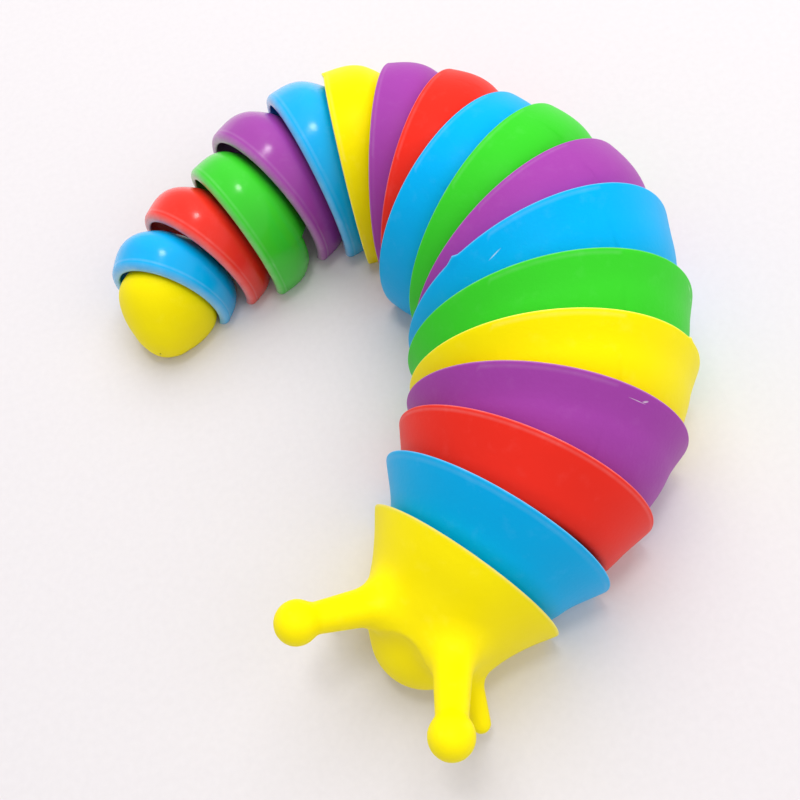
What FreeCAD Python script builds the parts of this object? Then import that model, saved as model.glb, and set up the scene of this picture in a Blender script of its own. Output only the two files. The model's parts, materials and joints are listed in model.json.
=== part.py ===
"""Articulated wiggle slug: nineteen nested plastic mouldings on eighteen upright hinge pins.

Every moulding is drawn in its own frame: its rear rim lies in the plane x = 0, it points along +X
(towards the head), and it stands on z = 0. The finished mouldings are then set out along the curled
body. The front of each moulding is a dome of revolution about the upright hinge pin, and the rim of
the moulding in front of it slides over that dome as the joint turns.
"""
import FreeCAD, Part
import Sketcher
import math
import os

from FreeCAD import Placement, Rotation, Vector

DRIVING_DIMENSIONS = {
    # the row of rims
    "pitch": 7.2,
    "tail_width": 20.6,
    "widest_width": 45.3,
    "head_taper": 0.3,
    "head_width": 32.4,
    "centre_ratio": 0.244,
    "semi_height_ratio": 0.6,
    # the moulded walls
    "rim_wall": 1.6,
    "body_wall": 1.3,
    "dome_gap": 0.5,
    "lip_length": 2.8,
    "notch_start": 10.6,
    "notch_width": 15.0,
    # the hinge
    "pivot_setback": 1.0,
    "axial_play": 1.0,
    "pin_radius": 0.9,
    "pin_clearance": 0.05,
    "pin_head_radius": 1.6,
    "pin_head_bottom": 1.2,
    "pin_head_top": 1.95,
    "pin_top": 7.4,
    # the spine inside each moulding, from the table upwards
    "eye_radius": 1.85,
    "eye_bottom": 2.1,
    "eye_top": 3.9,
    "step_bottom": 4.2,
    "step_top": 5.9,
    "tower_top": 7.6,
    "tower_radius": 2.2,
    "beam_bottom": 8.0,
    "beam_top": 9.6,
    "spine_width": 3.7,
    "web_rear": 5.6,
    "web_thickness": 0.9,
    "column_rear": 0.4,
    "column_front": 0.9,
    "mast_start": 4.7,
    "mast_end": 6.1,
    # the tail tip
    "tip_length": 9.3,
    "tip_front": 2.2,
    "tip_wall": 1.4,
    # the head
    "head_floor": 8.6,
    "antenna_radius": 2.1,
    "knob_radius": 3.15,
    "knob_forward": 20.0,
    "knob_side": 12.4,
    "knob_height": 23.0,
    "feeler_radius": 1.5,
    "feeler_forward": 16.4,
    "feeler_side": 13.6,
    "feeler_height": 5.0,
    # where the rim of the middle moulding stands, and which way it faces
    "middle_x": 16.348,
    "middle_y": 26.521,
    "middle_heading": -60.0,
}

COLOURS = (
    "blue", "red", "green", "purple", "blue", "yellow", "purple", "red", "blue",
    "green", "purple", "blue", "green", "yellow", "purple", "red", "blue",
)
TIP = 1
FIRST = 2
WIDEST = 13
LAST = 18
HEAD = 19
MIDDLE = 10

# how far each joint is turned in the stored pose, in degrees, from the tail tip to the head
REST_BENDS = (
    -8, -18, -18, 8, -18, -18, -18, -17, -18, 1, -12, -14, -13, -8, -13, -13, -7, -4,
)
# how far each joint is pulled open along the body in the stored pose, as a share of its play
REST_PLAY = (0, 1, 1, 1, 1, 0.25, 0.5, 0, 0, 0, 1, 0, 1, 0.5, 0, 1, 1, 1)

# turns an ellipse upright, with the seam of its lofted surface below the table plane
UPRIGHT = Rotation(Vector(0, 1, 0), 90)


def make_sheet(doc):
    sheet = doc.addObject("Spreadsheet::Sheet", "dims")
    for row, (alias, number) in enumerate(DRIVING_DIMENSIONS.items(), start=1):
        cell = f"B{row}"
        sheet.set(f"A{row}", alias.replace("_", " "))
        sheet.set(cell, str(number))
        sheet.setAlias(cell, alias)
    doc.recompute()
    return sheet


DOC = FreeCAD.newDocument("wiggle_slug")
DIMS = make_sheet(DOC)


def value(expression):
    """The number that an expression over the sheet's cells stands for."""
    return float(DIMS.evalExpression(str(expression)))


def bind(thing, **expressions):
    """Ties properties of an object to expressions; a double underscore stands for a dot."""
    for name, expression in expressions.items():
        thing.setExpression(name.replace("__", "."), str(expression))
    return thing


def place(thing, x="0", y="0", z="0"):
    return bind(thing, Placement__Base__x=x, Placement__Base__y=y, Placement__Base__z=z)


def box(name, x0, x1, width, z0, z1):
    """A block from x0 to x1 and z0 to z1, centred on the mid-plane y = 0."""
    block = DOC.addObject("Part::Box", name)
    bind(block, Length=f"({x1}) - ({x0})", Width=width, Height=f"({z1}) - ({z0})")
    return place(block, x0, f"-({width}) / 2", z0)


def post(name, radius, x, z0, z1):
    """An upright cylinder on the mid-plane."""
    cylinder = DOC.addObject("Part::Cylinder", name)
    bind(cylinder, Radius=radius, Height=f"({z1}) - ({z0})")
    return place(cylinder, x, "0", z0)


def ellipse(name, x, half_width, semi_height, centre_height):
    """An upright elliptical section across the body at station x."""
    section = DOC.addObject("Part::Ellipse", name)
    section.Placement = Placement(Vector(), UPRIGHT)
    bind(section, MajorRadius=semi_height, MinorRadius=half_width)
    return place(section, x, "0", centre_height)


def loft(name, sections):
    """A smooth closed solid through elliptical sections, each (x, half width, semi height, centre)."""
    solid = DOC.addObject("Part::Loft", name)
    solid.Sections = [ellipse(f"{name}_{n}", *section) for n, section in enumerate(sections)]
    solid.Solid = True
    solid.Ruled = False
    return solid


def fuse(name, shapes):
    joined = DOC.addObject("Part::MultiFuse", name)
    joined.Shapes = shapes
    return joined


def cut(name, base, *tools):
    for n, tool in enumerate(tools):
        last = n == len(tools) - 1
        step = DOC.addObject("Part::Cut", name if last else f"{name}_step_{n}")
        step.Base = base
        step.Tool = tool
        base = step
    return base


def rim_width(k):
    """Outer width of the rear rim of moulding k: it grows evenly from the tail, then falls away."""
    if k == HEAD:
        return "dims.head_width"
    if k <= WIDEST:
        share = (k - FIRST) / (WIDEST - FIRST)
        return f"(dims.tail_width + (dims.widest_width - dims.tail_width) * {share:.6f})"
    return f"(dims.widest_width - dims.head_taper * {(k - WIDEST) ** 2})"


def mouth_half(k):
    """Inner half width of the mouth of moulding k."""
    return f"({rim_width(k)} / 2 - dims.rim_wall)"


class Dome:
    """The surface of revolution about the hinge pin of moulding k, over which mouth k + 1 slides."""

    def __init__(self, k):
        reach = "(dims.pitch + dims.pivot_setback)"
        self.outer = f"sqrt({reach}^2 + {mouth_half(k + 1)}^2)"
        self.radius = f"({self.outer} - dims.dome_gap)"
        mouth_semi = f"(dims.semi_height_ratio * {rim_width(k + 1)} - dims.rim_wall)"
        self.aspect = f"({mouth_semi} / {mouth_half(k + 1)})"

    def half(self, x):
        return f"sqrt({self.radius}^2 - ({x} + dims.pivot_setback)^2)"


def shell_length(k):
    """Length of moulding k from its rim to its hidden front edge."""
    front_angle = 33 if k < 8 else 58.5 if k == LAST - 1 else 40
    share = math.cos(math.radians(front_angle))
    return f"({Dome(k).radius} * {share:.6f} - dims.pivot_setback)"


def half_width(k, x, part):
    """Half width of moulding k at station x: its lip tapers down to its dome, and never swells."""
    dome = Dome(k)
    rim = f"({rim_width(k)} / 2)"
    lip_part = value("dims.lip_length / dims.pitch")
    if part == 0:
        return rim
    if part < lip_part:
        return f"({rim} + {half_width(k, 'dims.lip_length', lip_part)}) / 2"
    if part >= 1:
        return dome.half(x)
    if k == LAST and part == lip_part:
        # the head is so much narrower that this moulding tapers all the way to its dome
        return f"({rim} + ({dome.half('dims.pitch * 0.66')} - {rim}) * {part / 0.66})"
    straight = f"({rim} + ({dome.half('dims.pitch')} - {rim}) * {part})"
    return f"min({straight}; {dome.half(x)})"


def outer_section(k, x, part):
    """Section of moulding k at station x; part runs from 0 at the rim to 1 at the next rim."""
    half = half_width(k, x, part)
    rim_aspect = "(2 * dims.semi_height_ratio)"
    blend = min(part, 1)
    semi = f"({half}) * ({rim_aspect} + ({Dome(k).aspect} - {rim_aspect}) * {blend})"
    width = f"({rim_width(k)} + ({rim_width(k + 1)} - {rim_width(k)}) * {blend})"
    return half, semi, f"dims.centre_ratio * {width}"


def shell_sections(k, wall=None):
    """Stations along moulding k, from the rim to the front edge, drawn in by a wall if one is given."""
    length = shell_length(k)
    stations = [
        ("0", 0),
        ("dims.lip_length / 2", value("dims.lip_length / dims.pitch") / 2),
        ("dims.lip_length", value("dims.lip_length / dims.pitch")),
        ("dims.pitch * 0.66", 0.66),
        ("dims.pitch", 1),
        (f"(dims.pitch + {length}) / 2", 1.5),
        (length, 2),
    ]
    sections = []
    for x, part in stations:
        half, semi, centre = outer_section(k, x, part)
        if wall:
            skin = "dims.rim_wall" if part == 0 else wall
            half, semi = f"({half}) - {skin}", f"({semi}) - {skin}"
        sections.append((x, half, semi, centre))
    if wall:
        # the cavity runs past both ends, so that it cuts cleanly
        first, last = sections[0], sections[-1]
        sections[0] = ("-0.4", *first[1:])
        sections[-1] = (f"{length} + 0.4", *last[1:])
    return sections


def eye(name, x, slot, bottom, top, away):
    """A slotted eye: (ring, slot). The slot runs away from the pin at x by the joint's play."""
    solids = []
    for part, radius, z0, z1 in (
        ("ring", "dims.eye_radius", bottom, top),
        ("slot", "(dims.pin_radius + dims.pin_clearance)", f"{bottom} - 0.5", f"{top} + 0.2"),
    ):
        far = f"{x} {away} {slot}"
        low, high = (far, x) if away == "-" else (x, far)
        near_end = post(f"{name}_{part}_near", radius, x, z0, z1)
        far_end = post(f"{name}_{part}_far", radius, far, z0, z1)
        middle = box(f"{name}_{part}_middle", low, high, f"2 * {radius}", z0, z1)
        solids.append(fuse(f"{name}_{part}", [near_end, middle, far_end]))
    return solids


REAR_PIN = "(-dims.pivot_setback - dims.pitch)"
OWN_PIN = "(-dims.pivot_setback)"


def rear_step(name):
    """The low part of a spine: the slotted eye round the pin behind, and the web up from it."""
    ring, slot = eye(f"{name}_eye", REAR_PIN, "dims.axial_play", "dims.eye_bottom", "dims.eye_top", "-")
    web_front = "(-dims.web_rear + dims.web_thickness)"
    tongue = box(
        f"{name}_tongue", REAR_PIN, web_front, "dims.spine_width", "dims.eye_bottom", "dims.eye_top"
    )
    web = box(
        f"{name}_web", "-dims.web_rear", web_front, "dims.spine_width", "dims.eye_bottom",
        "dims.step_top",
    )
    return [ring, tongue, web], slot


def roof_height(k, x, part):
    """Height of the middle of moulding k's wall thickness over the mid-plane at station x."""
    half, semi, centre = outer_section(k, x, part)
    return f"({centre} + {semi} - dims.body_wall * 0.6)"


def front_relief(k):
    """Frees the low front edge of moulding k, which swings past the spine two mouldings ahead."""
    start = f"{Dome(k).radius} * {math.cos(math.radians(47)):.6f} - dims.pivot_setback"
    return box(f"shell_{k:02d}_relief", start, "40", "80", "-1", "dims.beam_top + 0.2")


def make_shell(k):
    """Moulding k: an open-bottomed dome-fronted shell with the hinge spine inside it."""
    name = f"shell_{k:02d}"
    skin = cut(
        f"{name}_skin",
        loft(f"{name}_outer", shell_sections(k)),
        loft(f"{name}_cavity", shell_sections(k, "dims.body_wall")),
        box(f"{name}_notch", "dims.notch_start", "40", "dims.notch_width", "0", "60"),
        front_relief(k),
        box(f"{name}_ground", "-20", "40", "80", "-40", "0"),
    )
    beam_start = "-dims.column_rear"
    column_front = "dims.column_front"
    tower_top = "dims.tower_top"
    spine = [
        post(f"{name}_tower", "dims.tower_radius", OWN_PIN, "dims.step_bottom", tower_top),
    ]
    slots = []
    if k == FIRST:
        # the tail tip's eye lies on this tower, so the column stands further forward, on a bridge
        beam_start = "(dims.eye_radius + dims.axial_play + 0.4 - dims.pivot_setback)"
        column_front = f"({beam_start} + 1)"
        spine.append(
            box(f"{name}_bridge", OWN_PIN, column_front, "dims.spine_width", "dims.step_top + 0.3",
                tower_top)
        )
    else:
        low, slot = rear_step(name)
        spine += low
        slots.append(slot)
        spine.append(
            box(f"{name}_step", "-dims.web_rear", OWN_PIN, "dims.spine_width", "dims.step_bottom",
                "dims.step_top")
        )
    spine += [
        box(f"{name}_column", beam_start, column_front, "dims.spine_width - 0.8",
            "dims.step_top + 0.3", "dims.beam_top"),
        box(f"{name}_beam", beam_start, "dims.mast_end", "dims.spine_width", "dims.beam_bottom",
            "dims.beam_top"),
        box(f"{name}_mast", "dims.mast_start", "dims.mast_end", "dims.spine_width",
            "dims.beam_bottom", roof_height(k, "dims.mast_end", value("dims.mast_end / dims.pitch"))),
    ]
    bore = post(
        f"{name}_bore", "dims.pin_radius + dims.pin_clearance", OWN_PIN, "dims.step_bottom - 0.5",
        "dims.tower_top + 0.2",
    )
    whole = fuse(f"{name}_whole", [skin, *spine])
    shell = cut(name, whole, bore, *slots)
    shell.Label = f"{name}_{COLOURS[k - FIRST]}"
    return shell


def make_tail_tip():
    """The tail tip: a hollow rounded cone whose arm hooks over the second pin of shell 2.

    Its frame has the rim of shell 2 in the plane x = 0.
    """
    inner = f"({mouth_half(FIRST)} - dims.dome_gap)"
    centre = f"dims.centre_ratio * {rim_width(FIRST)}"
    aspect = "(2 * dims.semi_height_ratio + 0.05)"

    def section(x, share, wall="0", drop=0):
        half = f"({inner} * {share} - {wall})"
        return x, half, f"{half} * {aspect}", f"{centre} - {drop}"

    outside = [
        section("dims.tip_front", 0.93),
        section("-0.1 * dims.tip_length", 1),
        section("-0.4 * dims.tip_length", 0.88, drop=0.1),
        section("-0.7 * dims.tip_length", 0.62, drop=0.4),
        section("-0.9 * dims.tip_length", 0.37, drop=0.8),
        section("-dims.tip_length", 0.14, drop=1.1),
    ]
    inside = [
        section("dims.tip_front + 0.4", 0.93, "dims.tip_wall"),
        section("-0.1 * dims.tip_length", 1, "dims.tip_wall"),
        section("-0.4 * dims.tip_length", 0.88, "dims.tip_wall", 0.1),
        section("-0.66 * dims.tip_length", 0.62, "dims.tip_wall", 0.4),
    ]
    skin = cut(
        "tail_tip_skin",
        loft("tail_tip_outer", outside),
        loft("tail_tip_cavity", inside),
        box("tail_tip_ground", "-20", "20", "40", "-20", "0"),
    )
    ring, slot = eye("tail_tip_eye", OWN_PIN, "dims.axial_play", "dims.beam_bottom", "dims.beam_top", "+")
    arm = box(
        "tail_tip_arm", "-0.7 * dims.tip_length", OWN_PIN, "dims.spine_width - 0.7",
        "dims.beam_bottom", "dims.beam_top",
    )
    tip = cut("tail_tip", fuse("tail_tip_whole", [skin, ring, arm]), slot)
    tip.Label = "tail_tip"
    return tip


def rod(name, start, end, start_radius, end_radius):
    """A tapered round rod between two points, each a tuple of three expressions."""
    low, high = Vector(*map(value, start)), Vector(*map(value, end))
    cone = DOC.addObject("Part::Cone", name)
    bind(cone, Radius1=start_radius, Radius2=end_radius)
    cone.Height = low.distanceToPoint(high)
    cone.Placement = Placement(low, Rotation(Vector(0, 0, 1), high - low))
    return cone


def ball(name, radius, centre):
    sphere = DOC.addObject("Part::Sphere", name)
    bind(sphere, Radius=radius)
    return place(sphere, *centre)


def make_head():
    """The head: a cup at the rear, a solid snout, two knobbed antennae and two lower feelers."""
    rim = f"({rim_width(HEAD)} / 2)"
    centre = f"dims.centre_ratio * {rim_width(HEAD)}"

    def section(x, share, aspect, drop=0, wall="0"):
        half = f"({rim} * {share} - {wall})"
        return x, half, f"{half} * {aspect}", f"{centre} - {drop}"

    outside = [
        section("0", 1, 1.2),
        section("3.2", 0.87, 1.22),
        section("7", 0.73, 1.22, 0.3),
        section("11", 0.62, 1.18, 0.8),
        section("15", 0.5, 1.1, 1.4),
        section("17.6", 0.35, 1.04, 2.0),
        section("18.8", 0.16, 1.0, 2.3),
    ]
    inside = [
        section("-0.4", 1, 1.2, 0, "dims.rim_wall"),
        section("3.2", 0.87, 1.22, 0, "dims.body_wall"),
        section("7", 0.72, 1.2, 0.3, "dims.rim_wall"),
        section("dims.head_floor", 0.66, 1.2, 0.5, "dims.rim_wall"),
    ]
    solids = [cut("head_skin", loft("head_outer", outside), loft("head_cavity", inside))]
    for side, sign in (("left", 1), ("right", -1)):
        root = ("10.5", f"{sign} * 4.6", "13")
        knob = ("dims.knob_forward", f"{sign} * dims.knob_side", "dims.knob_height")
        low_root = ("10", f"{sign} * 6", "5")
        low_tip = ("dims.feeler_forward", f"{sign} * dims.feeler_side", "dims.feeler_height")
        solids += [
            rod(f"antenna_{side}", root, knob, "dims.antenna_radius * 1.35", "dims.antenna_radius * 0.9"),
            ball(f"knob_{side}", "dims.knob_radius", knob),
            rod(f"feeler_{side}", low_root, low_tip, "dims.feeler_radius * 1.5", "dims.feeler_radius"),
            ball(f"feeler_tip_{side}", "dims.feeler_radius", low_tip),
        ]
    low, slot = rear_step("head")
    bulkhead = box(
        "head_step", "-dims.web_rear", "dims.head_floor + 1", "dims.spine_width", "dims.step_bottom",
        "dims.step_top",
    )
    ground = box("head_ground", "-20", "40", "80", "-40", "0")
    head = cut("head", fuse("head_whole", [*solids, *low, bulkhead]), ground, slot)
    head.Label = "head"
    return head


def origin_plane(body, role):
    return next(feature for feature in body.Origin.OriginFeatures if feature.Role == role)


def make_pin(number, head_low, head_high, shaft_end):
    """A turned hinge pin: a flat head and a plain shaft with a chamfered end, revolved about z.

    The heights are expressions; the shaft runs from the head's high face to shaft_end.
    """
    body = DOC.addObject("PartDesign::Body", f"hinge_pin_{number:02d}")
    sketch = body.newObject("Sketcher::SketchObject", f"pin_profile_{number:02d}")
    sketch.AttachmentSupport = [(origin_plane(body, "XZ_Plane"), "")]
    sketch.MapMode = "FlatFace"
    toward = 1 if value(shaft_end) > value(head_high) else -1
    bevel = 0.25
    outline = [
        ("0", head_low),
        ("dims.pin_head_radius", head_low),
        ("dims.pin_head_radius", head_high),
        ("dims.pin_radius", head_high),
        ("dims.pin_radius", f"{shaft_end} - {toward * bevel}"),
        (f"dims.pin_radius - {bevel}", shaft_end),
        ("0", shaft_end),
    ]
    points = [Vector(value(x), value(z), 0) for x, z in outline]
    for n, start in enumerate(points):
        sketch.addGeometry(Part.LineSegment(start, points[(n + 1) % len(points)]))
    for n, (x, z) in enumerate(outline):
        sketch.addConstraint(Sketcher.Constraint("Coincident", n, 2, (n + 1) % len(outline), 1))
        if x == "0":
            sketch.addConstraint(Sketcher.Constraint("PointOnObject", n, 1, -2))
        else:
            spot = sketch.addConstraint(Sketcher.Constraint("DistanceX", -1, 1, n, 1, value(x)))
            sketch.setExpression(f"Constraints[{spot}]", x)
        spot = sketch.addConstraint(Sketcher.Constraint("DistanceY", -1, 1, n, 1, value(z)))
        sketch.setExpression(f"Constraints[{spot}]", z)
    turned = body.newObject("PartDesign::Revolution", f"pin_turned_{number:02d}")
    turned.Profile = sketch
    turned.ReferenceAxis = (sketch, ["V_Axis"])
    turned.Angle = 360
    body.Label = f"hinge_pin_{number:02d}"
    return body


def make_pins():
    pins = []
    for number in range(TIP, HEAD):
        if number == TIP:
            # pressed in from above, over the tail tip's eye
            heights = ("dims.beam_top + 0.9", "dims.beam_top + 0.15", "dims.step_top + 0.3")
        elif number == FIRST:
            # shorter, because it shares its bore with the first pin
            heights = ("dims.pin_head_bottom", "dims.pin_head_top", "dims.step_top + 0.1")
        else:
            heights = ("dims.pin_head_bottom", "dims.pin_head_top", "dims.pin_top")
        pins.append(make_pin(number, *heights))
    return pins


def ahead(heading, distance):
    """A step of the given distance along a heading in degrees."""
    turn = math.radians(heading)
    return Vector(math.cos(turn), math.sin(turn), 0) * distance


def lay_out():
    """Rim centre and heading of every moulding, and the axis of every pin, in the stored pose.

    Joint k joins mouldings k and k + 1 and turns about pin k. The tail tip's frame is that of
    shell 2's rim, and its pin shares the axis of the second pin.
    """
    setback, pitch, play = value("dims.pivot_setback"), value("dims.pitch"), value("dims.axial_play")
    middle = Vector(value("dims.middle_x"), value("dims.middle_y"), 0)
    frames = {MIDDLE: (middle, value("dims.middle_heading"))}
    for k in range(MIDDLE, LAST + 1):
        rim, heading = frames[k]
        turned = heading + REST_BENDS[k - 1]
        reach = pitch + setback + play * REST_PLAY[k - 1]
        frames[k + 1] = (rim - ahead(heading, setback) + ahead(turned, reach), turned)
    for k in range(MIDDLE - 1, FIRST - 1, -1):
        rim, heading = frames[k + 1]
        turned = heading - REST_BENDS[k - 1]
        reach = pitch + setback + play * REST_PLAY[k - 1]
        frames[k] = (rim - ahead(heading, reach) + ahead(turned, setback), turned)
    rim, heading = frames[FIRST]
    pivot = rim - ahead(heading, setback)
    turned = heading - REST_BENDS[0]
    frames[TIP] = (pivot + ahead(turned, setback - play * REST_PLAY[0]), turned)
    pins = {k: frames[k][0] - ahead(frames[k][1], setback) for k in range(FIRST, LAST + 1)}
    pins[TIP] = pins[FIRST]
    return frames, pins


def check(parts):
    for thing in DOC.Objects:
        if "Invalid" in thing.State or "Error" in thing.State:
            raise RuntimeError(f"{thing.Name} did not build: {thing.State}")
    for part in parts:
        if part.Shape.isNull() or not part.Shape.isValid() or len(part.Shape.Solids) != 1:
            raise RuntimeError(f"{part.Label} is not one valid solid")


def main():
    mouldings = [make_tail_tip()]
    mouldings += [make_shell(k) for k in range(FIRST, LAST + 1)]
    mouldings.append(make_head())
    pins = make_pins()
    DOC.recompute()
    frames, axes = lay_out()
    for k, moulding in enumerate(mouldings, start=TIP):
        rim, heading = frames[k]
        moulding.Placement = Placement(rim, Rotation(Vector(0, 0, 1), heading))
    for number, pin in enumerate(pins, start=TIP):
        pin.Placement = Placement(axes[number], Rotation())
    DOC.recompute()
    parts = mouldings + pins
    check(parts)
    os.makedirs("parts", exist_ok=True)
    for part in parts:
        part.Shape.exportStep(f"parts/{part.Label}.step")
    low_x, low_y, high_x, high_y = 1e9, 1e9, -1e9, -1e9
    for part in parts:
        bounds = part.Shape.BoundBox
        low_x, high_x = min(low_x, bounds.XMin), max(high_x, bounds.XMax)
        low_y, high_y = min(low_y, bounds.YMin), max(high_y, bounds.YMax)
    print(f"{len(parts)} parts, box x {low_x:.2f} to {high_x:.2f}, y {low_y:.2f} to {high_y:.2f}")


main()
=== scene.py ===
"""Looks for the articulated slug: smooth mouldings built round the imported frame.

Every moulding is drawn in millimetres in its own frame: its rear rim lies in the plane x = 0, it
points along +X towards the head, and it stands on z = 0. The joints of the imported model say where
each frame is.
"""
import json
import math

import bmesh
import bpy
import numpy as np
from mathutils import Matrix, Vector


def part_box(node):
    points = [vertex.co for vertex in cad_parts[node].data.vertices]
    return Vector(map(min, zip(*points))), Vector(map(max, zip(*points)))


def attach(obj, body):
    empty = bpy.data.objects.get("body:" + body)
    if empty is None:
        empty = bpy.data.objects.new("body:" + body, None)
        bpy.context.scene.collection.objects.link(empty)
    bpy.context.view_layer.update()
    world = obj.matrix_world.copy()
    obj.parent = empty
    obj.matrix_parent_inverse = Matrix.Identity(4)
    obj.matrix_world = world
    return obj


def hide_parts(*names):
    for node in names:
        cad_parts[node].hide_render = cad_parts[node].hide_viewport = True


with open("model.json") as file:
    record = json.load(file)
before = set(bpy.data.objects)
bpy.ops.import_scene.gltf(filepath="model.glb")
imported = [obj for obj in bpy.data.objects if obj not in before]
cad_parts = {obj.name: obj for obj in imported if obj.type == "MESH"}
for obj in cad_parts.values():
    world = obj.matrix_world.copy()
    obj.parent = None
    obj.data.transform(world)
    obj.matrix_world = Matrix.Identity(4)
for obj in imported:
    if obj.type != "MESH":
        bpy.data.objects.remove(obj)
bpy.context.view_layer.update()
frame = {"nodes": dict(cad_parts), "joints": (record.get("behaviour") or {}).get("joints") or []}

MM = 0.001
PITCH, SETBACK, PLAY = 7.2, 1.0, 1.0
TAIL_WIDTH, WIDEST_WIDTH, HEAD_TAPER, HEAD_WIDTH = 20.6, 45.3, 0.3, 32.4
CENTRE_RATIO, SEMI_RATIO = 0.244, 0.6
RIM_WALL, BODY_WALL, DOME_GAP = 1.6, 1.3, 0.5
LIP_LENGTH, NOTCH_START, NOTCH_HALF = 2.8, 10.6, 7.5
RELIEF_ANGLE, RELIEF_TOP = 47, 9.8
TAPER, LONG_TAPER = 4.75, 6.0
FIRST, WIDEST, LAST, HEAD, MIDDLE = 2, 13, 18, 19, 10
LAST_GLOSSY = 6

JOINTS = {joint["name"]: joint for joint in frame["joints"]}
NODES = {}
for node in frame["nodes"]:
    words = node.split("_")
    if words[0] == "shell":
        NODES[int(words[1])] = node
NODES[1], NODES[HEAD] = "tail_tip", "head"


# --- where each moulding stands -------------------------------------------------------------

def bend(k):
    low, high = JOINTS[f"bend_{k:02d}"]["range_deg"]
    return -(low + high) / 2


def pin_axis(k):
    x, y, _ = JOINTS[f"bend_{k:02d}"]["pos_m"]
    return Vector((x, y, 0)) / MM


def opened(k):
    """How far joint k is pulled open at rest, in millimetres."""
    return -JOINTS[f"play_{k:02d}"]["range_m"][0] / MM


def ahead(heading, distance):
    turn = math.radians(heading)
    return Vector((math.cos(turn), math.sin(turn), 0)) * distance


def lay_out():
    step = pin_axis(MIDDLE) - pin_axis(MIDDLE - 1)
    headings = {MIDDLE: math.degrees(math.atan2(step.y, step.x))}
    for k in range(MIDDLE, HEAD):
        headings[k + 1] = headings[k] + bend(k)
    for k in range(MIDDLE - 1, 0, -1):
        headings[k] = headings[k + 1] - bend(k)
    rims = {k: pin_axis(k) + ahead(headings[k], SETBACK) for k in range(FIRST, HEAD)}
    rims[HEAD] = pin_axis(LAST) + ahead(headings[HEAD], PITCH + SETBACK + opened(LAST))
    rims[1] = pin_axis(1) + ahead(headings[1], SETBACK - opened(1))
    return {k: (rims[k], headings[k]) for k in rims}


FRAMES = lay_out()


def to_world(k):
    rim, heading = FRAMES[k]
    turn = Matrix.Rotation(math.radians(heading), 4, "Z")
    return Matrix.Scale(MM, 4) @ Matrix.Translation(rim) @ turn


# --- small mesh builders, all in millimetres ------------------------------------------------

class Solid:
    """Vertices and faces gathered into one mesh, with a few numbers kept at every vertex."""

    def __init__(self):
        self.points, self.faces, self.marks, self.uvs = [], [], [], []

    def add(self, points, faces, marks=None, uvs=None):
        start = len(self.points)
        self.points += [tuple(map(float, p)) for p in points]
        self.faces += [tuple(int(i) + start for i in face) for face in faces]
        count = len(points)
        self.marks += list(marks) if marks is not None else [0.0] * count
        self.uvs += list(uvs) if uvs is not None else [(0.5, -1.0)] * count

    def mesh(self, name, matrix, sharp=35):
        data = bpy.data.meshes.new(name)
        data.from_pydata(self.points, [], self.faces)
        data.validate()
        # the edge attribute carries the weight of the painted highlight along the rims
        edge = data.attributes.new("edge", "FLOAT", "POINT")
        edge.data.foreach_set("value", self.marks)
        layer = data.uv_layers.new(name="wall")
        for loop in data.loops:
            layer.data[loop.index].uv = self.uvs[loop.vertex_index]
        cleaned = bmesh.new()
        cleaned.from_mesh(data)
        bmesh.ops.recalc_face_normals(cleaned, faces=cleaned.faces)
        cleaned.to_mesh(data)
        cleaned.free()
        data.transform(matrix)
        data.polygons.foreach_set("use_smooth", [True] * len(data.polygons))
        data.set_sharp_from_angle(angle=math.radians(sharp))
        return data


def rounded_block(solid, x0, x1, width, z0, z1, y=0.0, bevel=0.18):
    """A block with small rounded edges, like the rest of the moulded spine."""
    work = bmesh.new()
    bmesh.ops.create_cube(work, size=1)
    for v in work.verts:
        v.co = Vector((x0 + (v.co.x + 0.5) * (x1 - x0), y + v.co.y * width,
                       z0 + (v.co.z + 0.5) * (z1 - z0)))
    bmesh.ops.bevel(work, geom=work.edges[:], offset=bevel, segments=2, affect="EDGES",
                    profile=0.5)
    work.verts.index_update()
    solid.add([v.co for v in work.verts], [[v.index for v in f.verts] for f in work.faces])
    work.free()


def stadium(x0, x1, radius, count=24):
    """A closed outline of two half circles round x0 and x1, joined by straight sides."""
    outline = []
    for centre, start in ((x0, math.pi / 2), (x1, -math.pi / 2)):
        for n in range(count):
            turn = start + math.pi * n / (count - 1)
            outline.append((centre + radius * math.cos(turn), radius * math.sin(turn)))
    return outline


def ring_prism(solid, x0, x1, outer, inner, z0, z1, bevel=0.15):
    """An upright slotted eye or bored boss with softened edges."""
    levels = [(outer - bevel, z0), (outer, z0 + bevel), (outer, z1 - bevel), (outer - bevel, z1),
              (inner + bevel, z1), (inner, z1 - bevel), (inner, z0 + bevel), (inner + bevel, z0)]
    points, faces = [], []
    count = len(stadium(x0, x1, 1))
    for radius, z in levels:
        points += [(x, y, z) for x, y in stadium(x0, x1, radius)]
    for level in range(len(levels)):
        above = (level + 1) % len(levels)
        for n in range(count):
            after = (n + 1) % count
            faces.append((level * count + n, level * count + after, above * count + after,
                          above * count + n))
    solid.add(points, faces)


def turned(solid, profile, x=0.0, count=32):
    """A solid of revolution about the upright axis at x; profile is (radius, z), axis to axis."""
    points = [(x, 0, profile[0][1])]
    for radius, z in profile[1:-1]:
        points += [(x + radius * math.cos(2 * math.pi * n / count),
                    radius * math.sin(2 * math.pi * n / count), z) for n in range(count)]
    points.append((x, 0, profile[-1][1]))
    rings, end = len(profile) - 2, len(points) - 1
    faces = []
    for n in range(count):
        after = (n + 1) % count
        faces.append((0, 1 + after, 1 + n))
        for ring in range(rings - 1):
            a = 1 + ring * count
            faces.append((a + n, a + after, a + count + after, a + count + n))
        a = 1 + (rings - 1) * count
        faces.append((a + n, a + after, end))
    solid.add(points, faces)


def hermite(x0, x1, y0, y1, slope0, slope1, x):
    span = x1 - x0
    share = (x - x0) / span
    a = 2 * share ** 3 - 3 * share ** 2 + 1
    b = share ** 3 - 2 * share ** 2 + share
    c = -2 * share ** 3 + 3 * share ** 2
    d = share ** 3 - share ** 2
    return a * y0 + b * span * slope0 + c * y1 + d * span * slope1


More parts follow.
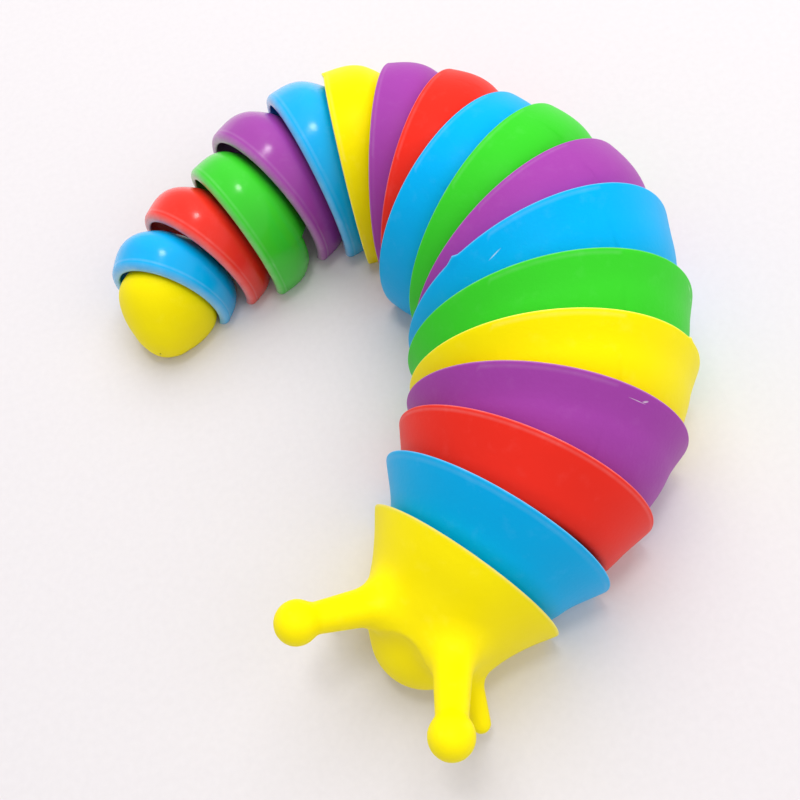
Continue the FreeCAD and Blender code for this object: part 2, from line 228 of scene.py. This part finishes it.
def through(xs, ys, x):
    """A smooth curve through a few stations, read at x (ascending xs)."""
    xs, ys, x = np.array(xs, float), np.array(ys, float), np.asarray(x, float)
    slopes = np.gradient(ys, xs)
    spot = np.clip(np.searchsorted(xs, x) - 1, 0, len(xs) - 2)
    after = spot + 1
    return hermite(xs[spot], xs[after], ys[spot], ys[after], slopes[spot], slopes[after], x)


# --- the shells -----------------------------------------------------------------------------

def rim_width(k):
    if k == HEAD:
        return HEAD_WIDTH
    if k <= WIDEST:
        return TAIL_WIDTH + (WIDEST_WIDTH - TAIL_WIDTH) * (k - FIRST) / (WIDEST - FIRST)
    return WIDEST_WIDTH - HEAD_TAPER * (k - WIDEST) ** 2


class Wall:
    """The outer surface of shell k: an arch that rounds over into a dome about its hinge pin."""

    def __init__(self, k):
        self.k = k
        self.rear, self.front = rim_width(k), rim_width(k + 1)
        mouth = self.front / 2 - RIM_WALL
        self.radius = math.hypot(PITCH + SETBACK, mouth) - DOME_GAP
        self.aspect = (SEMI_RATIO * self.front - RIM_WALL) / mouth
        angle = 33 if k < 8 else 58.5 if k == LAST - 1 else 40
        self.length = self.reach(angle)
        # a rim that is wider than its own dome tapers down to it, clear of the next rim
        wide = self.rear / 2 > self.radius
        self.barrel = PITCH if not wide else TAPER if k < LAST - 1 else LONG_TAPER

    def reach(self, angle):
        """Station where the dome stands at an angle off the way the shell points."""
        return self.radius * math.cos(math.radians(angle)) - SETBACK

    def dome(self, x):
        return np.sqrt(self.radius ** 2 - (x + SETBACK) ** 2)

    def section(self, x):
        """Half width, semi height and centre height at station x."""
        x = np.asarray(x, float)
        share = np.clip(x / PITCH, 0, 1)
        end = self.barrel
        at_end = float(self.dome(end))
        slope = -(end + SETBACK) / at_end
        start = 0.0 if end == PITCH else (at_end - self.rear / 2) / end
        barrel = hermite(0, end, self.rear / 2, at_end, start, slope, np.clip(x, 0, end))
        half = np.where(x < end, barrel, self.dome(np.maximum(x, end)))
        aspect = 2 * SEMI_RATIO + (self.aspect - 2 * SEMI_RATIO) * share
        centre = CENTRE_RATIO * (self.rear + (self.front - self.rear) * share)
        return half, half * aspect, centre

    def point(self, x, depth, around):
        """A point of the wall; around runs from 0 to 1, from one lower edge over the top."""
        half, semi, centre = self.section(x)
        start = -np.arcsin(np.clip(centre / (semi - depth), -1, 1))
        turn = start + (math.pi - 2 * start) * around
        return x, (half - depth) * np.cos(turn), centre + (semi - depth) * np.sin(turn)


def wall_profile(length, outer_round, inner_round, steps=26):
    """The closed outline of a shell's wall: stations x, depths below the outer surface, and weights
    for the painted rim highlight.
    """
    xs, depths, marks = [], [], []

    def put(x, depth, mark=0.0):
        xs.append(x)
        depths.append(depth)
        marks.append(mark)

    # the third number at each point weights the painted highlight along the rim: it is set on the
    # rim's roundings and over the first 0.5 mm of the outer face
    for n in range(6, -1, -1):
        turn = math.pi / 2 * n / 6
        put(outer_round * (1 - math.sin(turn)) if n < 6 else 0.0,
            outer_round * (1 - math.cos(turn)), n / 6)
    front = BODY_WALL / 2
    reach = length - front
    for n in range(1, steps + 1):
        share = n / steps
        x = outer_round + (reach - outer_round) * share
        put(x, 0.0, max(0.0, 1 - (x - outer_round) / 0.5) * 0.7)
    for n in range(1, 8):
        turn = math.pi * n / 8
        put(reach + front * math.sin(turn), front * (1 - math.cos(turn)))
    for n in range(steps, 0, -1):
        x = inner_round + (reach - inner_round) * n / steps
        wall = BODY_WALL + (RIM_WALL - BODY_WALL) * max(0.0, 1 - x / LIP_LENGTH)
        put(x, wall)
    for n in range(7):
        turn = math.pi / 2 * n / 6
        put(inner_round * (1 - math.sin(turn)), RIM_WALL - inner_round * (1 - math.cos(turn)),
            0.4 + 0.6 * n / 6)
    return np.array(xs), np.array(depths), np.array(marks)


# small moulding nibs left on a rim: shell -> (place around, height in mm, spread)
NIBS = {13: (0.66, 0.42, 0.007), 7: (0.36, 0.38, 0.008), 15: (0.24, 0.22, 0.006)}


def shell_skin(solid, k, count=120):
    wall = Wall(k)
    small = k <= LAST_GLOSSY
    outer_round, inner_round = (1.0, 0.35) if small else (0.32, 0.4)
    points, marks, uvs = [], [], []
    for j in range(count + 1):
        around = j / count
        length = wall.length
        if length > NOTCH_START:
            probe = wall.point(NOTCH_START, 0.0, around)
            if abs(probe[1]) < NOTCH_HALF:
                length = NOTCH_START
        relief = wall.reach(RELIEF_ANGLE)
        if length > relief and wall.point(relief, 0.0, around)[2] < RELIEF_TOP:
            length = relief
        xs, depths, edge = wall_profile(length, outer_round, inner_round)
        x, y, z = wall.point(xs, depths, around)
        if k in NIBS:
            place, height, spread = NIBS[k]
            swell = height * math.exp(-((around - place) / spread) ** 2)
            lift = swell * np.exp(-(xs / 0.5) ** 2) * (depths < 0.8)
            _, semi, centre = wall.section(xs)
            turn = np.arctan2(z - centre, y)
            x = x - lift * 0.6
            y = y + lift * np.cos(turn)
            z = z + lift * np.sin(turn)
        points += list(zip(x, y, np.maximum(z, 0.0)))
        # weights of the painted rim highlight
        marks += list(edge)
        uvs += [(around, float(v) / 20 if d < 0.6 else -1.0) for v, d in zip(xs, depths)]
    rows = len(xs)
    faces = []
    for j in range(count):
        for i in range(rows):
            after = (i + 1) % rows
            faces.append((j * rows + i, j * rows + after, (j + 1) * rows + after,
                          (j + 1) * rows + i))
    faces.append(tuple(range(rows)))
    faces.append(tuple(count * rows + i for i in reversed(range(rows))))
    solid.add(points, faces, marks, uvs)


PIN_BORE, EYE_RADIUS, TOWER_RADIUS, SPINE_WIDTH = 0.95, 1.85, 2.2, 3.7
EYE_Z, STEP_Z, TOWER_TOP, BEAM_Z = (2.1, 3.9), (4.2, 5.9), 7.6, (8.0, 9.6)
REAR_PIN, OWN_PIN, WEB_REAR, WEB_FRONT = -SETBACK - PITCH, -SETBACK, -5.6, -4.7
MAST = (4.7, 6.1)


def rear_step(solid):
    ring_prism(solid, REAR_PIN - PLAY, REAR_PIN, EYE_RADIUS, PIN_BORE, *EYE_Z)
    rounded_block(solid, REAR_PIN + 1.25, WEB_FRONT, SPINE_WIDTH, *EYE_Z)
    rounded_block(solid, WEB_REAR, WEB_FRONT, SPINE_WIDTH, EYE_Z[0], STEP_Z[1])


def shell_spine(solid, k):
    beam_start, column_front = -0.4, 0.9
    ring_prism(solid, OWN_PIN, OWN_PIN, TOWER_RADIUS, PIN_BORE, STEP_Z[0], TOWER_TOP)
    if k == FIRST:
        beam_start = EYE_RADIUS + PLAY + 0.4 - SETBACK
        column_front = beam_start + 1
        rounded_block(solid, OWN_PIN + 1.3, column_front, SPINE_WIDTH, STEP_Z[1] + 0.3, TOWER_TOP)
    else:
        rear_step(solid)
        rounded_block(solid, WEB_REAR, OWN_PIN - 1.3, SPINE_WIDTH, *STEP_Z)
    rounded_block(solid, beam_start, column_front, SPINE_WIDTH - 0.8, STEP_Z[1] + 0.3, BEAM_Z[1])
    rounded_block(solid, beam_start, MAST[1], SPINE_WIDTH, *BEAM_Z)
    wall = Wall(k)
    _, semi, centre = wall.section(MAST[1])
    rounded_block(solid, *MAST, SPINE_WIDTH, BEAM_Z[0], float(centre + semi) - BODY_WALL * 0.7)


# --- the tail tip ---------------------------------------------------------------------------

TAIL_COLUMNS = 96


def tail_tip():
    """Rings of points round the tail's wall, and how many rings there are."""
    inner = rim_width(FIRST) / 2 - RIM_WALL - DOME_GAP
    centre0 = CENTRE_RATIO * rim_width(FIRST)
    length, front, wall = 9.4, 2.2, 1.4
    stations = [-length, -0.97 * length, -0.9 * length, -0.7 * length, -0.4 * length,
                -0.1 * length, front]
    shares = [0.0, 0.19, 0.36, 0.62, 0.88, 1.0, 0.93]
    drops = [1.15, 1.05, 0.85, 0.4, 0.1, 0.0, 0.0]

    def section(x, inset):
        share = through(stations, shares, x) if inset == 0 else through(stations, shares, x - 0.5)
        half = np.maximum(inner * share - inset, 0.0)
        return half, half * (2 * SEMI_RATIO + 0.05), centre0 - through(stations, drops, x)

    outside = [front - 0.2] + list(np.linspace(front - 0.6, -0.9 * length, 34))
    outside += [-0.93 * length, -0.955 * length, -0.975 * length, -0.99 * length, -0.997 * length]
    inside = list(np.linspace(-0.62 * length, front - 0.3, 24))
    rings = [(x, 0.0) for x in outside] + [(x, wall) for x in inside] + [(front, wall - 0.25),
                                                                       (front, 0.2)]
    points = []
    for x, inset in rings:
        half, semi, centre = section(x, inset)
        semi = max(float(semi), 1e-4)
        start = -math.asin(min(1.0, float(centre) / semi))
        for j in range(TAIL_COLUMNS + 1):
            turn = start + (math.pi - 2 * start) * j / TAIL_COLUMNS
            if start <= -math.pi / 2 + 1e-6:
                turn = -math.pi / 2 + 2 * math.pi * j / TAIL_COLUMNS
            points.append((x, float(half) * math.cos(turn),
                           max(0.0, float(centre) + semi * math.sin(turn))))
    return points, len(rings)


# --- implicit surfaces, for the softly blended head -----------------------------------------

def soft_union(a, b, k):
    mix = np.clip(0.5 + 0.5 * (b - a) / k, 0, 1)
    return b * (1 - mix) + a * mix - k * mix * (1 - mix)


def tapered_rod(p, a, b, ra, rb):
    a, b = np.array(a, float), np.array(b, float)
    along = b - a
    share = np.clip(((p - a) @ along) / (along @ along), 0, 1)
    return np.linalg.norm(p - a - share[..., None] * along, axis=-1) - (ra + (rb - ra) * share)


def ellipsoid(p, centre, radii):
    q = (p - np.array(centre, float)) / np.array(radii, float)
    size = np.linalg.norm(q, axis=-1)
    steep = np.linalg.norm(q / np.array(radii, float), axis=-1) + 1e-9
    return size * (size - 1) / steep


def surface_nets(field, low, step):
    """A smooth quad mesh where the sampled field crosses zero."""
    inside = field < 0
    shape = np.array(field.shape)
    cells = shape - 1
    corner = [(i, j, k) for i in (0, 1) for j in (0, 1) for k in (0, 1)]
    total = sum(inside[i:i + cells[0], j:j + cells[1], k:k + cells[2]].astype(int)
                for i, j, k in corner)
    active = np.argwhere((total > 0) & (total < 8))
    index = -np.ones(cells, int)
    index[tuple(active.T)] = np.arange(len(active))
    sums = np.zeros((len(active), 3))
    hits = np.zeros(len(active))
    for c0 in corner:
        for axis in range(3):
            if c0[axis] == 1:
                continue
            c1 = list(c0)
            c1[axis] = 1
            f0 = field[tuple((active + c0).T)]
            f1 = field[tuple((active + c1).T)]
            cross = (f0 < 0) != (f1 < 0)
            share = np.where(cross, f0 / np.where(cross, f0 - f1, 1), 0)
            spot = np.array(c0, float)[None, :].repeat(len(active), 0)
            spot[:, axis] += share
            sums += np.where(cross[:, None], spot, 0)
            hits += cross
    points = low + (active + sums / hits[:, None]) * step
    faces = []
    for axis in range(3):
        u, v = [(1, 2), (2, 0), (0, 1)][axis]
        a = np.delete(inside, -1, axis)
        b = np.delete(inside, 0, axis)
        spots = np.argwhere(a != b)
        across, up = spots[:, u], spots[:, v]
        keep = (across > 0) & (up > 0) & (across < cells[u]) & (up < cells[v])
        spots = spots[keep]
        flips = a[tuple(spots.T)]
        du, dv = np.zeros(3, int), np.zeros(3, int)
        du[u], dv[v] = 1, 1
        quad = np.stack([index[tuple((spots - du - dv).T)], index[tuple((spots - dv).T)],
                         index[tuple(spots.T)], index[tuple((spots - du).T)]], 1)
        quad[~flips] = quad[~flips][:, ::-1]
        faces += quad.tolist()
    return points, faces


HEAD_STEP = 0.4
KNOB, KNOB_STEM, FEELER_TIP = (20.0, 12.4, 23.0), (19.3, 11.9, 22.5), (16.4, 13.6, 5.0)


def head_field(p):
    x, y, z = p[..., 0], p[..., 1], p[..., 2]
    side = np.abs(y)
    rim = rim_width(HEAD) / 2
    centre0 = CENTRE_RATIO * rim_width(HEAD)
    near = np.clip(x, -4, 16)
    stations = [-4, 0, 3.2, 6.5, 10, 13, 16]
    half = rim * through(stations, [1.15, 1.0, 0.865, 0.75, 0.66, 0.58, 0.46], near)
    semi = half * through(stations, [1.2, 1.2, 1.22, 1.2, 1.16, 1.12, 1.05], near)
    centre = centre0 - through(stations, [0, 0, 0, 0.3, 0.7, 1.1, 1.5], near)
    cup = np.sqrt((y / half) ** 2 + ((z - centre) / semi) ** 2) - 1
    cup = cup * np.minimum(half, semi) * 0.95
    cup = np.maximum(cup, (x - 13.0) * 0.9)
    snout = ellipsoid(p, (10.4, 0, 6.6), (8.2, 8.2, 7.8))
    body = soft_union(cup, snout, 3.5)
    q = np.stack([x, side, z], -1)
    stalk = tapered_rod(q, (8.6, 4.2, 13.2), KNOB_STEM, 3.2, 2.05)
    body = soft_union(body, stalk, 4.0)
    knob = np.linalg.norm(q - np.array(KNOB), axis=-1) - 3.1
    body = soft_union(body, knob, 0.7)
    feeler = tapered_rod(q, (9.0, 5.4, 5.6), FEELER_TIP, 2.1, 1.45)
    body = soft_union(body, feeler, 1.6)
    inside_half = half - BODY_WALL * 1.15
    inside_semi = semi - BODY_WALL * 1.15
    cavity = (np.sqrt((y / inside_half) ** 2 + ((z - centre) / inside_semi) ** 2) - 1) * inside_half
    cavity = np.maximum(cavity, x - 8.6)
    return np.maximum(body, -cavity)


def head_skin(solid):
    low = np.array([-1.5, -19.6, -1.5])
    high = np.array([24.5, 19.6, 28.5])
    count = np.ceil((high - low) / HEAD_STEP).astype(int) + 1
    axes = [low[n] + np.arange(count[n]) * HEAD_STEP for n in range(3)]
    p = np.stack(np.meshgrid(*axes, indexing="ij"), -1)
    field = head_field(p)
    # close the box behind the rim and below the table, where the surface is cut flat afterwards
    field[0], field[:, :, 0] = 1.0, 1.0
    points, faces = surface_nets(field, low, HEAD_STEP)
    work = bmesh.new()
    verts = [work.verts.new(q) for q in points]
    for face in faces:
        if min(face) >= 0:
            try:
                work.faces.new([verts[i] for i in face])
            except ValueError:
                pass
    for origin, outward in (((0, 0, 0), (-1, 0, 0)), ((0, 0, 0), (0, 0, -1))):
        geometry = work.verts[:] + work.edges[:] + work.faces[:]
        bmesh.ops.bisect_plane(work, geom=geometry, dist=1e-5, plane_co=origin,
                               plane_no=outward, clear_outer=True)
        rim = [e for e in work.edges if e.is_boundary]
        bmesh.ops.triangle_fill(work, edges=rim, use_beauty=True, normal=outward)
    bmesh.ops.remove_doubles(work, verts=work.verts[:], dist=1e-4)
    work.verts.index_update()
    coords = [v.co.copy() for v in work.verts]
    # weight of the painted rim highlight: full at the rim plane, fading to nothing 0.35 mm in front
    # of it
    marks = [max(0.0, 1 - c.x / 0.35) for c in coords]
    solid.add(coords, [[v.index for v in f.verts] for f in work.faces], marks,
              [(0.5, c.z) for c in coords])
    work.free()
    rear_step(solid)
    rounded_block(solid, WEB_REAR, 9.2, SPINE_WIDTH, *STEP_Z)


# --- materials ------------------------------------------------------------------------------

def linear(red, green, blue):
    """Linear colour from ordinary screen values of 0 to 255."""
    def one(c):
        c /= 255
        return c / 12.92 if c <= 0.04045 else ((c + 0.055) / 1.055) ** 2.4
    return (one(red), one(green), one(blue), 1.0)


COLOURS = {
    "yellow": linear(255, 236, 0),
    "blue": linear(0, 176, 240),
    "red": linear(240, 48, 34),
    "green": linear(60, 208, 44),
    "purple": linear(162, 68, 166),
    "white": linear(226, 224, 216),
}


class Nodes:
    def __init__(self, material):
        self.tree = material.node_tree

    def new(self, kind, **settings):
        node = self.tree.nodes.new(kind)
        for name, setting in settings.items():
            setattr(node, name, setting)
        return node

    def link(self, a, b):
        self.tree.links.new(a, b)

    def math(self, operation, a, b=None, clamp=False):
        node = self.new("ShaderNodeMath", operation=operation, use_clamp=clamp)
        for socket, given in zip(node.inputs, (a, b)):
            if given is None:
                continue
            if isinstance(given, (int, float)):
                socket.default_value = given
            else:
                self.link(given, socket)
        return node.outputs[0]

    def noise(self, where, scale, detail=3.0, rough=0.5):
        node = self.new("ShaderNodeTexNoise")
        node.inputs["Scale"].default_value = scale
        node.inputs["Detail"].default_value = detail
        node.inputs["Roughness"].default_value = rough
        self.link(where, node.inputs["Vector"])
        return node.outputs["Fac"]

    def mix(self, share, a, b):
        node = self.new("ShaderNodeMix", data_type="RGBA")
        for socket, given in ((node.inputs["Factor"], share), (node.inputs["A"], a),
                              (node.inputs["B"], b)):
            if isinstance(given, (int, float)):
                socket.default_value = given
            elif isinstance(given, tuple):
                socket.default_value = given
            else:
                self.link(given, socket)
        return node.outputs["Result"]


def shade(colour, share, toward):
    return tuple(c + (t - c) * share for c, t in zip(colour[:3], toward)) + (1.0,)


def plastic(name, colour, roughness, grain, scratches=(), soft=0.0, shine=0.3):
    """Moulded plastic: slight colour drift, fine surface grain, a painted pale highlight along the
    rims broken up by noise, hair scratches.
    """
    material = bpy.data.materials.new(name)
    material.use_nodes = True
    n = Nodes(material)
    shader = n.tree.nodes["Principled BSDF"]
    where = n.new("ShaderNodeTexCoord").outputs["Object"]
    broad = n.noise(where, 90, 2.0)
    fine = n.noise(where, 1500, 3.0)
    cloud = n.noise(where, 420, 4.0, 0.6)
    edge = n.new("ShaderNodeAttribute", attribute_name="edge").outputs["Fac"]
    drift = n.mix(broad, shade(colour, 0.10, (0, 0, 0)), colour)
    speck = n.math("MULTIPLY", n.math("SUBTRACT", cloud, 0.56, clamp=True), 1.4, clamp=True)
    drift = n.mix(speck, drift, shade(colour, 0.04, (1, 1, 1)))
    # painted highlight: the rims are lightened towards white by the edge weight, broken up by noise
    painted_rim_highlight = n.math("MULTIPLY", edge, n.math("ADD", n.math("MULTIPLY", cloud, 0.9), 0.15), clamp=True)
    tint = n.mix(n.math("MULTIPLY", painted_rim_highlight, 0.8), drift, shade(colour, 0.45, (1, 1, 1)))
    # hair scratches run round the wall in long thin streaks
    stretch = n.new("ShaderNodeMapping")
    stretch.inputs["Scale"].default_value = (1.0, 1.0, 6.0)
    stretch.inputs["Rotation"].default_value = (0.4, 0.3, 0.6)
    n.link(where, stretch.inputs["Vector"])
    hair = n.noise(stretch.outputs["Vector"], 700, 6.0, 0.75)
    hair = n.math("MULTIPLY", n.math("SUBTRACT", hair, 0.63, clamp=True), 3.0, clamp=True)
    uv = n.new("ShaderNodeUVMap", uv_map="wall").outputs["UV"]
    marks = None
    for around, along, length, width, slant in scratches:
        shift = n.new("ShaderNodeMapping", vector_type="TEXTURE")
        shift.inputs["Location"].default_value = (around, along, 0)
        shift.inputs["Rotation"].default_value = (0, 0, slant)
        shift.inputs["Scale"].default_value = (length, width, 1)
        n.link(uv, shift.inputs["Vector"])
        wobble = n.new("ShaderNodeVectorMath", operation="LENGTH")
        n.link(shift.outputs["Vector"], wobble.inputs[0])
        one = n.math("SUBTRACT", 1.0, wobble.outputs["Value"], clamp=True)
        one = n.math("MULTIPLY", one, n.math("MULTIPLY", fine, 3.0), clamp=True)
        marks = one if marks is None else n.math("MAXIMUM", marks, one)
    if marks is not None:
        tint = n.mix(n.math("MULTIPLY", marks, 0.7), tint, shade(colour, 0.6, (1, 1, 1)))
    n.link(tint, shader.inputs["Base Color"])
    rough = n.math("ADD", n.math("MULTIPLY", cloud, 0.12), roughness - 0.06)
    rough = n.math("ADD", rough, n.math("MULTIPLY", hair, 0.10), clamp=True)
    n.link(rough, shader.inputs["Roughness"])
    height = n.math("ADD", n.math("MULTIPLY", fine, grain), n.math("MULTIPLY", broad, 0.9))
    height = n.math("SUBTRACT", height, n.math("MULTIPLY", hair, 0.15))
    if marks is not None:
        height = n.math("SUBTRACT", height, n.math("MULTIPLY", marks, 1.2))
    bump = n.new("ShaderNodeBump")
    bump.inputs["Strength"].default_value = 0.35
    bump.inputs["Distance"].default_value = 0.00012
    n.link(height, bump.inputs["Height"])
    n.link(bump.outputs["Normal"], shader.inputs["Normal"])
    shader.inputs["IOR"].default_value = 1.47
    shader.inputs["Specular IOR Level"].default_value = shine
    if soft:
        shader.inputs["Subsurface Weight"].default_value = soft
        shader.inputs["Subsurface Radius"].default_value = (1.0, 1.0, 1.0)
        shader.inputs["Subsurface Scale"].default_value = 0.0012
    return material


SCRATCHES = {
    13: [(0.60, 0.16, 0.018, 0.004, 0.7)],
    14: [(0.20, 0.06, 0.022, 0.004, -0.9), (0.185, 0.10, 0.012, 0.003, -1.1)],
    16: [(0.33, 0.055, 0.014, 0.004, 1.2), (0.345, 0.07, 0.02, 0.003, 0.1)],
    17: [(0.86, 0.14, 0.03, 0.006, 0.3)],
    4: [(0.3, 0.12, 0.05, 0.003, 0.3)],
}


# the two finishes: name, roughness, depth of the surface grain, specular level
GLOSS = ("gloss", 0.2, 0.25, 0.45)
SATIN = ("satin", 0.42, 0.6, 0.08)


def finish_piece(piece, body, node, material):
    bpy.context.scene.collection.objects.link(piece)
    piece.data.materials.append(material)
    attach(piece, body)
    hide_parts(node)


def build_shells():
    made = {}
    for k in range(FIRST, HEAD):
        node = NODES[k]
        colour = node.split("_")[-1]
        glossy = k <= LAST_GLOSSY
        solid = Solid()
        shell_skin(solid, k)
        shell_spine(solid, k)
        key = (colour, glossy, k if k in SCRATCHES else 0)
        if key not in made:
            finish, roughness, grain, shine = GLOSS if glossy else SATIN
            made[key] = plastic(f"{colour}_{finish}_{k:02d}", COLOURS[colour], roughness, grain,
                                SCRATCHES.get(k, ()), soft=0.12, shine=shine)
        mesh = solid.mesh(f"moulding_{k:02d}", to_world(k))
        piece = bpy.data.objects.new(f"moulding_{k:02d}_{colour}", mesh)
        finish_piece(piece, node, node, made[key])


def build_tail(material):
    points, total = tail_tip()
    row = TAIL_COLUMNS + 1
    solid = Solid()
    faces = []
    for r in range(total):
        after = (r + 1) % total
        for j in range(TAIL_COLUMNS):
            faces.append((r * row + j, r * row + j + 1, after * row + j + 1, after * row + j))
    solid.add(points, faces)
    ring_prism(solid, OWN_PIN, OWN_PIN + PLAY, EYE_RADIUS, PIN_BORE, *BEAM_Z)
    rounded_block(solid, -7.0, OWN_PIN - 1.25, SPINE_WIDTH - 0.7, *BEAM_Z)
    piece = bpy.data.objects.new("tail_cone", solid.mesh("tail_cone", to_world(1)))
    finish_piece(piece, "tail_tip", "tail_tip", material)


def build_head(material):
    solid = Solid()
    head_skin(solid)
    piece = bpy.data.objects.new("slug_head", solid.mesh("slug_head", to_world(HEAD), sharp=50))
    finish_piece(piece, "head", "head", material)


def build_pins(material):
    for k in range(1, HEAD):
        node = f"hinge_pin_{k:02d}"
        low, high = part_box(node)
        spot = pin_axis(k)
        low_z, high_z = low.z / MM, high.z / MM
        head = 0.75
        if k == 1:
            profile = [(0, high_z), (1.35, high_z), (1.55, high_z - 0.1), (1.6, high_z - 0.25),
                       (1.6, high_z - head + 0.1), (1.5, high_z - head), (0.9, high_z - head),
                       (0.9, low_z + 0.25), (0.65, low_z), (0, low_z)]
        else:
            profile = [(0, low_z + 0.12), (0.45, low_z + 0.12), (0.55, low_z), (1.35, low_z),
                       (1.55, low_z + 0.1), (1.6, low_z + 0.25), (1.6, low_z + head - 0.1),
                       (1.5, low_z + head), (0.9, low_z + head), (0.9, high_z - 0.25),
                       (0.65, high_z), (0, high_z)]
        solid = Solid()
        turned(solid, profile)
        matrix = Matrix.Scale(MM, 4) @ Matrix.Translation(spot)
        piece = bpy.data.objects.new(f"pin_{k:02d}", solid.mesh(f"pin_{k:02d}", matrix))
        finish_piece(piece, node, node, material)


# --- floor, light and camera ----------------------------------------------------------------

def build_stage():
    data = bpy.data.meshes.new("floor")
    size = 3.0
    data.from_pydata([(-size, -size, 0), (size, -size, 0), (size, size, 0), (-size, size, 0)], [],
                     [(0, 1, 2, 3)])
    floor = bpy.data.objects.new("floor", data)
    floor.location.z = -0.00005
    bpy.context.scene.collection.objects.link(floor)
    material = bpy.data.materials.new("pale_table")
    material.use_nodes = True
    n = Nodes(material)
    shader = n.tree.nodes["Principled BSDF"]
    where = n.new("ShaderNodeTexCoord").outputs["Object"]
    grain = n.noise(where, 900, 4.0)
    n.link(n.mix(grain, linear(216, 212, 214), linear(223, 219, 221)), shader.inputs["Base Color"])
    shader.inputs["Roughness"].default_value = 0.75
    floor.data.materials.append(material)


def area_light(name, spot, size, power):
    """A square lamp aimed at the toy."""
    data = bpy.data.lights.new(name, "AREA")
    data.shape, data.size, data.energy = "SQUARE", size, power
    lamp = bpy.data.objects.new(name, data)
    lamp.location = spot
    lamp.rotation_euler = (-Vector(spot)).to_track_quat("-Z", "Y").to_euler()
    bpy.context.scene.collection.objects.link(lamp)
    return lamp


def build_light():
    area_light("overhead_softbox", (0.16, 0.42, 0.66), 0.60, 4.2).visible_glossy = False
    area_light("window", (0.02, 0.10, 0.80), 0.12, 1.0)
    area_light("fill", (0.55, -0.25, 0.6), 0.6, 1.4).visible_glossy = False
    world = bpy.data.worlds.new("studio")
    world.use_nodes = True
    world.node_tree.nodes["Background"].inputs["Color"].default_value = (1.0, 0.985, 0.99, 1)
    world.node_tree.nodes["Background"].inputs["Strength"].default_value = 0.63
    bpy.context.scene.world = world


CAMERA_SPOT = (-4.68, -60.34, 147.17)
CAMERA_DOWN, CAMERA_ROLL, CAMERA_YAW, CAMERA_LENS = 67.67, -18.03, -1.08, 42.26


def build_camera():
    data = bpy.data.cameras.new("camera")
    data.lens, data.sensor_width = CAMERA_LENS, 36
    data.clip_start, data.clip_end = 0.01, 20
    camera = bpy.data.objects.new("camera", data)
    down, roll = math.radians(CAMERA_DOWN), math.radians(CAMERA_ROLL)
    yaw = math.radians(CAMERA_YAW)
    level = Vector((-math.sin(yaw), math.cos(yaw), 0))
    forward = math.cos(down) * level + Vector((0, 0, -math.sin(down)))
    right = Vector((math.cos(yaw), math.sin(yaw), 0))
    up = right.cross(forward)
    side = math.cos(roll) * right + math.sin(roll) * up
    top = -math.sin(roll) * right + math.cos(roll) * up
    camera.matrix_world = Matrix((
        (side.x, top.x, -forward.x, CAMERA_SPOT[0] * MM),
        (side.y, top.y, -forward.y, CAMERA_SPOT[1] * MM),
        (side.z, top.z, -forward.z, CAMERA_SPOT[2] * MM),
        (0, 0, 0, 1)))
    bpy.context.scene.collection.objects.link(camera)
    bpy.context.scene.camera = camera


rubbery = plastic("yellow_matt", COLOURS["yellow"], 0.5, 0.7, soft=0.12, shine=0.12)
natural = plastic("natural_white", COLOURS["white"], 0.45, 0.5)
build_shells()
build_tail(rubbery)
build_head(rubbery)
build_pins(natural)
build_stage()
build_light()
build_camera()
bpy.context.scene.view_settings.view_transform = "Standard"
